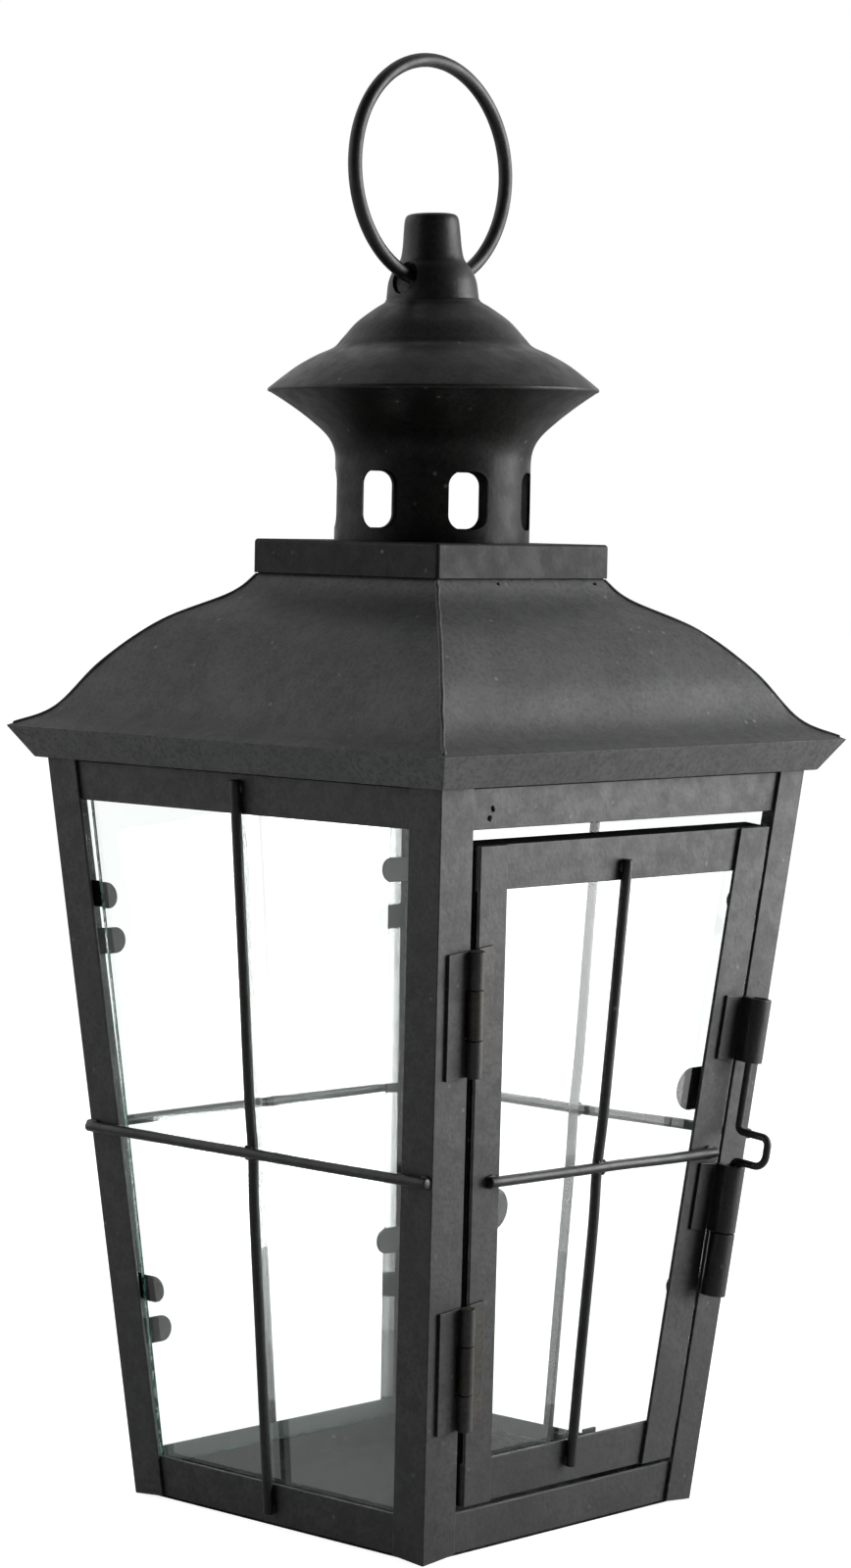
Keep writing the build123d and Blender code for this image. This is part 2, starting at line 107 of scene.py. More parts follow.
# ---------------------------------------------------------------- camera, light and floor
def make_camera():
    """Camera at the viewing angle of the lantern's front left corner."""
    azimuth = math.radians(view_azimuth)
    elevation = math.radians(view_elevation)
    back = Vector(
        (
            math.sin(azimuth) * math.cos(elevation),
            -math.cos(azimuth) * math.cos(elevation),
            math.sin(elevation),
        )
    )
    yawed = Matrix.Rotation(math.radians(-view_yaw), 3, "Y")
    pitched = Matrix.Rotation(math.radians(view_pitch), 3, "X")
    rolled = Matrix.Rotation(math.radians(view_roll), 3, "Z")
    aim = (-back).to_track_quat("-Z", "Y").to_matrix() @ (yawed @ pitched) @ rolled
    data = bpy.data.cameras.new("camera")
    data.lens = lens_mm
    data.sensor_width = 36.0
    data.clip_start = 0.05
    data.clip_end = 50.0
    camera = bpy.data.objects.new("camera", data)
    camera.matrix_world = Matrix.Translation(view_target + back * view_distance) @ aim.to_4x4()
    bpy.context.scene.collection.objects.link(camera)
    bpy.context.scene.camera = camera
    return (-back).normalized()


def softbox(name, direction, distance, width, height, power):
    """Large rectangular lamp that faces the middle of the lantern."""
    data = bpy.data.lights.new(name, "AREA")
    data.shape = "RECTANGLE"
    data.size = width
    data.size_y = height
    data.energy = power
    lamp = bpy.data.objects.new(name, data)
    aim = direction.normalized()
    lamp.location = view_target + aim * distance
    lamp.rotation_euler = aim.to_track_quat("Z", "Y").to_euler()
    lamp.visible_camera = False
    bpy.context.scene.collection.objects.link(lamp)


def looked_at(nodes, links):
    """Socket that is 1 for rays from the camera, straight or through glass, and 0 for the rest."""
    path = nodes.new("ShaderNodeLightPath")
    either = nodes.new("ShaderNodeMath")
    either.operation = "MAXIMUM"
    links.new(path.outputs["Is Camera Ray"], either.inputs[0])
    links.new(path.outputs["Is Transmission Ray"], either.inputs[1])
    return either.outputs[0]


def make_world(look):
    """White surround: bright behind the lantern, dim in front, plain white where it is looked at."""
    world = bpy.data.worlds.new("studio")
    bpy.context.scene.world = world
    world.use_nodes = True
    nodes, links = world.node_tree.nodes, world.node_tree.links
    nodes.clear()
    direction = nodes.new("ShaderNodeTexCoord")
    along = nodes.new("ShaderNodeVectorMath")
    along.operation = "DOT_PRODUCT"
    along.inputs[1].default_value = Vector((look.x, look.y, surround_rise)).normalized()
    level = nodes.new("ShaderNodeMapRange")
    level.interpolation_type = "SMOOTHSTEP"
    level.inputs["From Min"].default_value, level.inputs["From Max"].default_value = surround_spread
    level.inputs["To Min"].default_value, level.inputs["To Max"].default_value = surround_levels
    lit = nodes.new("ShaderNodeBackground")
    seen = nodes.new("ShaderNodeBackground")
    seen.inputs["Strength"].default_value = 1.0
    seen.inputs["Color"].default_value = (1, 1, 1, 1)
    mix = nodes.new("ShaderNodeMixShader")
    out = nodes.new("ShaderNodeOutputWorld")
    links.new(direction.outputs["Generated"], along.inputs[0])
    links.new(along.outputs["Value"], level.inputs["Value"])
    links.new(level.outputs["Result"], lit.inputs["Strength"])
    links.new(looked_at(nodes, links), mix.inputs["Fac"])
    links.new(lit.outputs[0], mix.inputs[1])
    links.new(seen.outputs[0], mix.inputs[2])
    links.new(mix.outputs[0], out.inputs["Surface"])


def make_floor():
    """Plain pale floor under the lantern."""
    reach = 6.0
    drop = 0.1 * mm
    mesh = bpy.data.meshes.new("floor")
    corners = [(x * reach, y * reach, -drop) for x, y in ((-1, -1), (1, -1), (1, 1), (-1, 1))]
    mesh.from_pydata(corners, [], [(0, 1, 2, 3)])
    floor = bpy.data.objects.new("floor", mesh)
    bpy.context.scene.collection.objects.link(floor)
    material = bpy.data.materials.new("floor_white")
    material.use_nodes = True
    shader = material.node_tree.nodes["Principled BSDF"]
    shader.inputs["Base Color"].default_value = (floor_tone, floor_tone, floor_tone, 1)
    shader.inputs["Roughness"].default_value = 0.9
    shader.inputs["Emission Color"].default_value = (1, 1, 1, 1)
    nodes, links = material.node_tree.nodes, material.node_tree.links
    glow = nodes.new("ShaderNodeMapRange")
    glow.inputs["To Min"].default_value, glow.inputs["To Max"].default_value = floor_levels
    links.new(looked_at(nodes, links), glow.inputs["Value"])
    links.new(glow.outputs["Result"], shader.inputs["Emission Strength"])
    mesh.materials.append(material)


look = make_camera()
make_world(look)
make_floor()
softbox("key", key_direction, distance=1.15, width=0.85, height=1.1, power=32.0)
softbox("card", card_direction, distance=0.45, width=0.6, height=0.22, power=0.5)
softbox("fill", fill_direction, distance=1.3, width=1.6, height=1.3, power=9.0)
bpy.context.scene.view_settings.view_transform = "Standard"


# ---------------------------------------------------------------- materials
# Scales of the coat's textures, per metre
cloud_scale = 38
mottle_scale = 230
fine_scale = 900
speck_scale = 210
speck_patch_scale = 95
pebble_scale = 850
dent_scale = 75

# Depths of its bumps, and its fixed colours
pebble_depth = 0.12 * mm
dent_depth = 0.7 * mm
dent_strength = 0.45
shade_share = 0.45
dust_colour = (0.20, 0.20, 0.195)
# Colour of weld burn and painted shade on the wire
burn_and_shade_colour = (0.008, 0.007, 0.006)


def material_nodes(name):
    """New node material: its tree and its shader."""
    material = bpy.data.materials.new(name)
    material.use_nodes = True
    tree = material.node_tree
    return material, tree, tree.nodes["Principled BSDF"]


def noise_node(tree, scale, detail, place):
    """Noise texture at a scale per metre, over the piece's own place."""
    texture = tree.nodes.new("ShaderNodeTexNoise")
    texture.inputs["Scale"].default_value = scale
    texture.inputs["Detail"].default_value = detail
    tree.links.new(place, texture.inputs["Vector"])
    return texture.outputs["Fac"]


def ramp_node(tree, value, low, high, from_low, from_high):
    """Spreads a value between from_low and from_high over low to high, held at the ends."""
    spread = tree.nodes.new("ShaderNodeMapRange")
    spread.inputs["From Min"].default_value = from_low
    spread.inputs["From Max"].default_value = from_high
    spread.inputs["To Min"].default_value = low
    spread.inputs["To Max"].default_value = high
    tree.links.new(value, spread.inputs["Value"])
    return spread.outputs["Result"]


def mix_colour(tree, share, first, second):
    """Mix of two colours, each a socket or plain numbers, by a share socket."""
    mix = tree.nodes.new("ShaderNodeMix")
    mix.data_type = "RGBA"
    tree.links.new(share, mix.inputs["Factor"])
    for socket, colour in ((mix.inputs["A"], first), (mix.inputs["B"], second)):
        if isinstance(colour, tuple):
            socket.default_value = (*colour, 1)
        else:
            tree.links.new(colour, socket)
    return mix.outputs["Result"]


def paint(name, dark, light, rough, grain, dust, gloss=0.35, mottling=0.45, burnt_and_shaded=False):
    """Black powder coat: cloudy tone, fine grain, pale dust specks, a pebbled surface and, where asked, weld
    burn and painted shade read from the mesh.
    """
    material, tree, shader = material_nodes(name)
    nodes, links = tree.nodes, tree.links
    place = nodes.new("ShaderNodeTexCoord").outputs["Object"]
    cloud = noise_node(tree, cloud_scale, 3, place)
    colour = mix_colour(tree, ramp_node(tree, cloud, 0, 1, 0.32, 0.68), dark, light)
    mottle = noise_node(tree, mottle_scale, 5, place)
    shade = tuple(shade_share * part for part in dark)
    colour = mix_colour(tree, ramp_node(tree, mottle, mottling, 0, 0.40, 0.56), colour, shade)
    fine = noise_node(tree, fine_scale, 2, place)
    colour = mix_colour(tree, ramp_node(tree, fine, 0.7, 0, 0.38, 0.52), colour, shade)
    cells = nodes.new("ShaderNodeTexVoronoi")
    cells.inputs["Scale"].default_value = speck_scale
    links.new(place, cells.inputs["Vector"])
    speck = ramp_node(tree, cells.outputs["Distance"], dust, 0, 0.06, 0.14)
    where = ramp_node(tree, noise_node(tree, speck_patch_scale, 2, place), 0, 1, 0.50, 0.60)
    few = nodes.new("ShaderNodeMath")
    few.operation = "MULTIPLY"
    links.new(speck, few.inputs[0])
    links.new(where, few.inputs[1])
    colour = mix_colour(tree, few.outputs[0], colour, dust_colour)
    # Darker where the mesh marks weld burn and painted shade
    if burnt_and_shaded:
        mark = nodes.new("ShaderNodeAttribute")
        mark.attribute_name = "burn_and_shade"
        colour = mix_colour(tree, mark.outputs["Fac"], colour, burn_and_shade_colour)
    links.new(colour, shader.inputs["Base Color"])
    uneven = nodes.new("ShaderNodeMath")
    uneven.operation = "ADD"
    links.new(ramp_node(tree, cloud, *rough, 0.3, 0.7), uneven.inputs[0])
    links.new(ramp_node(tree, mottle, 0.10 * mottling, -0.08 * mottling, 0.40, 0.62), uneven.inputs[1])
    links.new(uneven.outputs[0], shader.inputs["Roughness"])
    shader.inputs["Specular IOR Level"].default_value = gloss
    pebbles = nodes.new("ShaderNodeBump")
    pebbles.inputs["Strength"].default_value = grain
    pebbles.inputs["Distance"].default_value = pebble_depth
    links.new(noise_node(tree, pebble_scale, 3, place), pebbles.inputs["Height"])
    dents = nodes.new("ShaderNodeBump")
    dents.inputs["Strength"].default_value = dent_strength
    dents.inputs["Distance"].default_value = dent_depth
    links.new(noise_node(tree, dent_scale, 3, place), dents.inputs["Height"])
    links.new(pebbles.outputs["Normal"], dents.inputs["Normal"])
    links.new(dents.outputs["Normal"], shader.inputs["Normal"])
    return material


def clear_glass():
    """Window glass with a faint film of dust, open to the lamps' rays."""
    material, tree, shader = material_nodes("pane_clear")
    nodes, links = tree.nodes, tree.links
    place = nodes.new("ShaderNodeTexCoord").outputs["Object"]
    shader.inputs["Base Color"].default_value = (0.97, 0.99, 0.98, 1)
    shader.inputs["Transmission Weight"].default_value = 1.0
    shader.inputs["IOR"].default_value = 1.5
    smears = ramp_node(tree, noise_node(tree, 30, 4, place), 0.0, 0.05, 0.45, 0.75)
    links.new(smears, shader.inputs["Roughness"])
    open_way = nodes.new("ShaderNodeBsdfTransparent")
    open_way.inputs["Color"].default_value = (0.90, 0.95, 0.93, 1)
    path = nodes.new("ShaderNodeLightPath")
    mix = nodes.new("ShaderNodeMixShader")
    links.new(path.outputs["Is Shadow Ray"], mix.inputs["Fac"])
    links.new(shader.outputs[0], mix.inputs[1])
    links.new(open_way.outputs[0], mix.inputs[2])
    links.new(mix.outputs[0], nodes["Material Output"].inputs["Surface"])
    return material


def cut_glass():
    """Green edge of a cut pane, lightly chipped."""
    material, tree, shader = material_nodes("pane_cut_edge")
    place = tree.nodes.new("ShaderNodeTexCoord").outputs["Object"]
    chips = ramp_node(tree, noise_node(tree, 420, 3, place), 0, 1, 0.45, 0.6)
    colour = mix_colour(tree, chips, (0.006, 0.030, 0.027), (0.016, 0.075, 0.066))
    tree.links.new(colour, shader.inputs["Base Color"])
    tree.links.new(ramp_node(tree, chips, 0.15, 0.5, 0, 1), shader.inputs["Roughness"])
    return material


def browned_steel():
    """Dull hinge pin steel, brown where the coat has worn off."""
    material, tree, shader = material_nodes("pin_browned")
    place = tree.nodes.new("ShaderNodeTexCoord").outputs["Object"]
    rust = ramp_node(tree, noise_node(tree, 260, 3, place), 0, 1, 0.42, 0.62)
    colour = mix_colour(tree, rust, (0.10, 0.095, 0.08), (0.085, 0.055, 0.025))
    tree.links.new(colour, shader.inputs["Base Color"])
    tree.links.new(ramp_node(tree, rust, 0.35, 0.65, 0, 1), shader.inputs["Roughness"])
    shader.inputs["Metallic"].default_value = 0.8
    return material


sheet_paint = paint(
    "coat_sheet", dark=(0.017, 0.017, 0.017), light=(0.023, 0.023, 0.0235),
    rough=(0.44, 0.56), grain=0.5, dust=0.25,
)
# Lighter copy of the black sheet coat: painted light on the eave band
band_lit_paint = paint(
    "coat_band_painted_light", dark=(0.052, 0.052, 0.0535), light=(0.064, 0.064, 0.0665),
    rough=(0.50, 0.60), grain=0.2, dust=0.5, mottling=0.25,
)
# Darker, duller copy of the black sheet coat: painted shade on the pane clips
clip_shaded_paint = paint(
    "coat_clip_painted_shade", dark=(0.009, 0.009, 0.009), light=(0.013, 0.013, 0.013),
    rough=(0.60, 0.72), grain=0.4, dust=0.3, gloss=0.10,
)
spun_paint = paint(
    "coat_spun", dark=(0.009, 0.009, 0.009), light=(0.014, 0.014, 0.014),
    rough=(0.36, 0.48), grain=0.45, dust=0.35, gloss=0.22,
)
# Darker, duller copy of the black coat: painted shade of the cap brim on the chimney
chimney_shaded_paint = paint(
    "coat_chimney_painted_shade", dark=(0.0075, 0.0073, 0.007), light=(0.012, 0.0116, 0.011),
    rough=(0.34, 0.44), grain=0.4, dust=0.3, gloss=0.10,
)
# Lighter copy of the black sheet coat: painted light on the roof and its hip welds
roof_lit_paint = paint(
    "coat_roof_painted_light", dark=(0.033, 0.0336, 0.035), light=(0.041, 0.0418, 0.0436),
    rough=(0.50, 0.60), grain=0.6, dust=0.5, mottling=0.22,
)
# Darker copy of the black sheet coat: painted shade on the collar
collar_shaded_paint = paint(
    "coat_collar_painted_shade", dark=(0.010, 0.010, 0.010), light=(0.015, 0.015, 0.0155),
    rough=(0.50, 0.60), grain=0.5, dust=0.5, gloss=0.15, mottling=0.35,
)
wire_paint = paint(
    "coat_wire", dark=(0.009, 0.009, 0.009), light=(0.014, 0.014, 0.014),
    rough=(0.36, 0.48), grain=0.4, dust=0.25, gloss=0.30, burnt_and_shaded=True,
)
hinge_paint = paint(
    "coat_hinge", dark=(0.008, 0.0075, 0.006), light=(0.034, 0.029, 0.017),
    rough=(0.40, 0.52), grain=0.5, dust=0.3,
)
floor_paint = paint(
    "coat_dusty", dark=(0.013, 0.0135, 0.0132), light=(0.024, 0.025, 0.0245),
    rough=(0.88, 0.95), grain=0.6, dust=0.8, gloss=0.05, mottling=0.8,
)
# Near-black coat: painted shade on the door's folded returns, and the own colour of the dark weld spatter
shade_and_spatter_paint = paint(
    "coat_shade_and_spatter", dark=(0.003, 0.003, 0.003), light=(0.005, 0.005, 0.005),
    rough=(0.88, 0.94), grain=0.3, dust=0.1, gloss=0.04, mottling=0.4,
)
pane_material = clear_glass()
edge_material = cut_glass()
pin_material = browned_steel()


# ---------------------------------------------------------------- mesh helpers
def finish_mesh(bm, sharp_degrees):
    """Smooth faces with edges kept sharp where they turn by more than sharp_degrees."""
    bmesh.ops.recalc_face_normals(bm, faces=bm.faces)
    limit = math.radians(sharp_degrees)
    for edge in bm.edges:
        edge.smooth = len(edge.link_faces) == 2 and edge.calc_face_angle(0) < limit
    for face in bm.faces:
        face.smooth = True


def piece(name, bm, body, slot, materials, *nodes):
    """Object made from a bmesh: rides on a body and stands for CAD nodes; its slot argument is not used."""
    mesh = bpy.data.meshes.new(name)
    bm.to_mesh(mesh)
    bm.free()
    for material in materials:
        mesh.materials.append(material)
    obj = bpy.data.objects.new(name, mesh)
    bpy.context.scene.collection.objects.link(obj)
    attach(obj, body)
    if nodes:
        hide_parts(*nodes)
    return obj


def node_bmesh(node):
    """A CAD node's mesh with its flat faces whole again."""
    bm = bmesh.new()
    bm.from_mesh(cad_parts[node].data)
    bmesh.ops.remove_doubles(bm, verts=bm.verts, dist=1e-6)
    bmesh.ops.dissolve_limit(bm, angle_limit=math.radians(0.3), verts=bm.verts, edges=bm.edges)
    return bm


def even_normals(obj):
    """Shades the large flat faces flat, with the turn of the normals left to the rounded edges."""
    even = obj.modifiers.new("even_normals", "WEIGHTED_NORMAL")
    even.keep_sharp = True


def rounded_piece(node, body, radius, material):
    """A CAD node's shape with its edges rounded, as folded and coated sheet has them."""
    bm = node_bmesh(node)
    joined = [edge for edge in bm.edges if len(edge.link_faces) == 2]
    corners = [edge for edge in joined if edge.calc_face_angle(0) > corner_turn]
    bmesh.ops.bevel(
        bm, geom=corners, offset=radius, offset_type="OFFSET", segments=2, profile=0.5, affect="EDGES",
        clamp_overlap=True,
    )
    finish_mesh(bm, sheet_sharp)
    even_normals(piece(f"{node}_coated", bm, body, "black_paint", [material], node))


def folded_return(node):
    """Folded edge of the door, drawn on into the back of its rail so that no light shows between."""
    pane = node_bmesh("door_pane")
    outward = max(pane.faces, key=lambda face: face.calc_area()).normal.copy()
    pane.free()
    if outward.y > 0:
        outward.negate()
    bm = node_bmesh(node)
    depths = [vert.co.dot(outward) for vert in bm.verts]
    middle = (min(depths) + max(depths)) / 2
    for vert, depth in zip(bm.verts, depths):
        if depth > middle:
            vert.co += outward * fold_overlap
    finish_mesh(bm, sheet_sharp)
    # The near-black coat on the returns is painted shade
    piece(f"{node}_coated", bm, "door", "black_paint", [shade_and_spatter_paint], node)


def between(a, b, c, d, t):
    """Point at share t from b to c on a smooth curve, with a and d as its next points."""
    return 0.5 * (
        (2 * b) + (c - a) * t + (2 * a - 5 * b + 4 * c - d) * t * t + (3 * b - a - 3 * c + d) * t ** 3
    )


def smooth_line(points, steps):
    """Points of a curve that passes through all the given points."""
    vectors = [Vector(point) for point in points]
    padded = [2 * vectors[0] - vectors[1], *vectors, 2 * vectors[-1] - vectors[-2]]
    line = []
    for a, b, c, d in zip(padded, padded[1:], padded[2:], padded[3:]):
        line += [between(a, b, c, d, step / steps) for step in range(steps)]
    line.append(vectors[-1])
    return line


def lathe(outline, segments, wobble, seed):
    """Spun sheet: an outline of (radius, height) turned about Z, slightly out of round."""
    on_axis = 0.0001 * mm
    ripples = 40
    bm = bmesh.new()
    rings = []
    for radius, height in outline:
        if radius < on_axis:
            rings.append([bm.verts.new((0, 0, height))])
            continue
        ring = []
        for number in range(segments):
            angle = 2 * math.pi * number / segments
            uneven = wobble * noise.noise(Vector((math.cos(angle), math.sin(angle), height * ripples + seed)))
            away = radius + uneven
            ring.append(bm.verts.new((away * math.cos(angle), away * math.sin(angle), height)))
        rings.append(ring)
    for inner, outer in zip(rings, rings[1:] + rings[:1]):
        if len(inner) == 1 and len(outer) == 1:
            continue
        for number in range(segments):
            after = (number + 1) % segments
            if len(inner) == 1:
                bm.faces.new((inner[0], outer[number], outer[after]))
            elif len(outer) == 1:
                bm.faces.new((inner[number], inner[after], outer[0]))
            else:
                bm.faces.new((inner[number], inner[after], outer[after], outer[number]))
    return bm


def burn_and_shade_layer(bm):
    """How burnt and how shaded each point of a mesh is, which the wire's coat reads: weld burn and painted
    shade.
    """
    return bm.verts.layers.float.get("burn_and_shade") or bm.verts.layers.float.new("burn_and_shade")


def add_tube(bm, points, radius, around=20, closed=False, burn_and_shade=None):
    """Round wire along points, its cut ends rounded, with an optional mask of weld burn and painted shade per
    point.
    """
    rounding = 0.3 * mm
    count = len(points)
    layer = burn_and_shade_layer(bm)
    tangents = []
    for number in range(count):
        before = points[number - 1] if closed or number else points[0]
        after = points[(number + 1) % count] if closed or number < count - 1 else points[-1]
        tangents.append((after - before).normalized())
    across = tangents[0].orthogonal().normalized()
    rings = []
    sections = []
    for number, (point, tangent) in enumerate(zip(points, tangents)):
        across = (across - tangent * across.dot(tangent)).normalized()
        sections.append((point, tangent, across, radius, burn_and_shade(point) if burn_and_shade else 0.0))
    if not closed:
        first, last = sections[0], sections[-1]
        head, tail = [], []
        for step in (2, 1):
            shrink = radius - rounding * (1 - math.sin(math.acos(step / 2)))
            away = rounding * step / 2
            head.append((first[0] - first[1] * away, *first[1:3], shrink, first[4]))
            tail.insert(0, (last[0] + last[1] * away, *last[1:3], shrink, last[4]))
        sections = head + sections + tail
    for point, tangent, side, size, mark in sections:
        other = tangent.cross(side)
        ring = []
        for number in range(around):
            angle = 2 * math.pi * number / around
            vert = bm.verts.new(point + (side * math.cos(angle) + other * math.sin(angle)) * size)
            vert[layer] = mark
            ring.append(vert)
        rings.append(ring)
    pairs = list(zip(rings, rings[1:]))
    if closed:
        pairs.append((rings[-1], rings[0]))
    for lower, upper in pairs:
        for number in range(around):
            after = (number + 1) % around
            bm.faces.new((lower[number], lower[after], upper[after], upper[number]))
    if not closed:
        bm.faces.new(rings[0][::-1])
        bm.faces.new(rings[-1])


def add_lump(bm, centre, size, seed, roughness=0.25):
    """Small uneven blob of weld or thick paint: an oval ball, size being its three half-axes."""
    # Weld lumps take a share of weld burn and painted shade
    lump_burn_and_shade = 0.6
    layer = burn_and_shade_layer(bm)
    made = bmesh.ops.create_icosphere(bm, subdivisions=3, radius=1.0)
    for vert in made["verts"]:
        uneven = 1 + roughness * noise.noise(vert.co * 1.3 + Vector((seed, 2 * seed, 3 * seed)))
        vert.co = centre + Vector(part * axis * uneven for part, axis in zip(vert.co, size))
        vert[layer] = lump_burn_and_shade


# ---------------------------------------------------------------- folded sheet of the body
for post in post_names:
    rounded_piece(f"post_{post}", "frame", post_round, sheet_paint)
for side in sides:
    rounded_piece(f"bottom_rail_{side}", "frame", rail_round, sheet_paint)
    rounded_piece(f"top_rail_{side}", "frame", rail_round, sheet_paint)
rounded_piece("floor_tray", "frame", tray_round, floor_paint)
rounded_piece("eave_band", "frame", band_round, band_lit_paint)
for part in ("hinge_stile", "latch_stile", "top_rail", "bottom_rail"):
    rounded_piece(f"door_{part}", "door", rail_round, sheet_paint)
for part in ("hinge_return", "latch_return", "top_return"):
    folded_return(f"door_{part}")
for side in glazed_sides:
    rounded_piece(f"pane_clips_{side}", "frame", rail_round, clip_shaded_paint)
rounded_piece("door_clips", "door", rail_round, clip_shaded_paint)
rounded_piece("door_foot_clips", "door", rail_round, clip_shaded_paint)
for place in hinge_places:
    rounded_piece(f"hinge_frame_leaf_{place}", "frame", leaf_round, sheet_paint)
    rounded_piece(f"hinge_door_leaf_{place}", "door", leaf_round, hinge_paint)
for place in ("upper", "lower"):
    rounded_piece(f"bolt_sleeve_{place}", "door", bolt_round, wire_paint)
rounded_piece("bolt_keeper", "frame", bolt_round, wire_paint)


# ---------------------------------------------------------------- glass
def glass_pane(node, body):
    """Clear pane with ground edges: the two large faces clear, the cut edges green."""
    flat_share = 0.99
    bm = node_bmesh(node)
    widest = max(bm.faces, key=lambda face: face.calc_area())
    facing = widest.normal.copy()
    corners = [edge for edge in bm.edges if edge.calc_face_angle(0) > corner_turn]
    bmesh.ops.bevel(
        bm, geom=corners, offset=glass_round, offset_type="OFFSET", segments=1, affect="EDGES",
        clamp_overlap=True,
    )
    bmesh.ops.recalc_face_normals(bm, faces=bm.faces)
    for face in bm.faces:
        face.material_index = 0 if abs(face.normal.dot(facing)) > flat_share else 1
        face.smooth = False
    piece(f"{node}_glass", bm, body, "window_glass", [pane_material, edge_material], node)


for side in glazed_sides:
    glass_pane(f"pane_{side}", "frame")
glass_pane("door_pane", "door")


# ---------------------------------------------------------------- glazing bars
def bar_ends(node):
    """Middles of a straight bar's two end faces, lowest or leftmost first."""
    tip_depth = 0.4 * mm
    points = [vert.co.copy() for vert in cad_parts[node].data.vertices]
    far = max(points, key=lambda point: (point - points[0]).length)
    near = max(points, key=lambda point: (point - far).length)
    run = (far - near).normalized()
    ends = []
    for tip in (near, far):
        flat = [point for point in points if abs((point - tip).dot(run)) < tip_depth]
        ends.append(sum(flat, Vector()) / len(flat))
    return sorted(ends, key=lambda end: (round(end.z, 4), end.x + end.y))


def bar_points(start, end, seed, bow=None):
    """Points of a hand-straightened wire, with a little sway and an optional bow at one place."""
    spacing, fewest = 2.5 * mm, 24
    sway_depth, sway_turns = 0.22 * mm, 3.1
    run = end - start
    sway = run.orthogonal().normalized()
    other = run.cross(sway).normalized()
    count = max(fewest, int(run.length / spacing))
    points = []
    for number in range(count + 1):
        share = number / count
        point = start + run * share
        hold = math.sin(math.pi * share)
        point += sway * (sway_depth * hold * noise.noise(Vector((share * sway_turns, seed, 0))))
        point += other * (sway_depth * hold * noise.noise(Vector((share * sway_turns, seed, 9))))
        if bow:
            centre, push, reach = bow
            gap = (point - centre).length / reach
            point += push * math.exp(-gap * gap)
        points.append(point)
    return points


def crossed_bars(prefix, suffix, body, outward, seed):
    """Cross bar, upright bar and their welds on one side of the lantern."""
    bow_depth, bow_reach = 0.5 * mm, 9 * mm
    cross_name = f"{prefix}bar_cross{suffix}"
    upright_name = f"{prefix}bar_upright{suffix}"
    left, right = bar_ends(cross_name)
    low, high = bar_ends(upright_name)
    run, rise = (right - left).normalized(), (high - low).normalized()
    across = left + run * (low - left).dot(run)
    share = (across.z - low.z) / (high.z - low.z)
    meeting = low + (high - low) * share
    crossing = left + run * (meeting - left).dot(run)

    def burn_and_shade(point):
        """Weld burn and painted shade above the crossing and at the welded ends."""
        from_cross = (point - crossing - rise * 3 * mm).length / (6 * mm)
        from_ends = min((point - end).length for end in (left, right, low, high)) / (4 * mm)
        return min(1.0, math.exp(-from_cross * from_cross) * 0.9 + math.exp(-from_ends * from_ends) * 0.8)

    bm = bmesh.new()
    add_tube(bm, bar_points(left, right, seed), wire_radius, burn_and_shade=burn_and_shade)
    finish_mesh(bm, wire_sharp)
    piece(f"{cross_name}_wire", bm, body, "black_paint", [wire_paint], cross_name)
    bm = bmesh.new()
    bow = (meeting, outward * -bow_depth, bow_reach)
    add_tube(bm, bar_points(low, high, seed + 5, bow), wire_radius, burn_and_shade=burn_and_shade)
    finish_mesh(bm, wire_sharp)
    piece(f"{upright_name}_wire", bm, body, "black_paint", [wire_paint], upright_name)
    bm = bmesh.new()
    for turn, (along, beside) in enumerate(((run, rise), (run, -rise), (-run, rise), (-run, -rise))):
        spot = crossing + (along + beside) * (1.15 * mm) - outward * (0.5 * mm)
        add_lump(bm, spot, Vector((0.75, 0.75, 0.75)) * mm, seed + turn)
    for number, (end, inner) in enumerate(((left, run), (right, -run), (low, rise), (high, -rise))):
        beside = inner.cross(outward).normalized()
        for hand in (-1, 1):
            spot = end + inner * (1.3 * mm) + beside * (hand * 1.15 * mm) - outward * (0.95 * mm)
            reach = Vector(0.55 + 0.9 * abs(part) for part in inner) * mm
            add_lump(bm, spot, reach, seed + number * 3 + hand)
    finish_mesh(bm, wire_sharp)
    piece(f"{prefix}bar_welds{suffix}", bm, body, "black_paint", [wire_paint])


for number, side in enumerate(glazed_sides):
    outward = Matrix.Rotation(math.radians(sides[side]), 3, "Z") @ Vector((0, -1, 0))
    crossed_bars("", f"_{side}", "frame", outward, 3.7 * number + 1.3)
crossed_bars("door_", "", "door", Vector((0, -1, 0)), 17.9)


# ---------------------------------------------------------------- roof
roof_curve = ((66.4, 4.6), (58.3, 16.2), (48.0, 26.5), (35.6, 33.8))
roof_top_half = 30.6 * mm
foot_inset = 0.4 * mm
roof_dent = 0.5 * mm
seam_radius = 0.55 * mm
seam_stray = 0.22 * mm


def roof_profile():
    """Half-width and height of the roof from its eave to the collar."""
    points = [Vector((eave_half - foot_inset, roof_low.z, 0))]
    points += [Vector((out * mm, roof_low.z + up * mm, 0)) for out, up in roof_curve]
    points.append(Vector((roof_top_half, roof_high.z, 0)))
    return smooth_line(points, 9)


def add_roof_ring(bm, half, height, inset, across, dent):
    """One level outline of the roof, four sides of so many steps, with soft dents."""
    broad, small, corner, small_share = 34, 90, 120, 0.35
    ring = []
    for quarter in range(4):
        turn = Matrix.Rotation(quarter * math.pi / 2, 3, "Z")
        for step in range(across):
            share = 2 * step / across - 1
            spot = turn @ Vector((share * (half - inset), inset - half, height))
            away = turn @ Vector((0, -1, 0))
            if step == 0:
                away = turn @ Vector((-1, -1, 0)) * 0.5
            soft = noise.noise(spot * broad + Vector((quarter, 0, 0))) if step else noise.noise(spot * corner)
            soft += small_share * noise.noise(spot * small)
            ring.append(bm.verts.new(spot + away * soft * dent))
    return ring


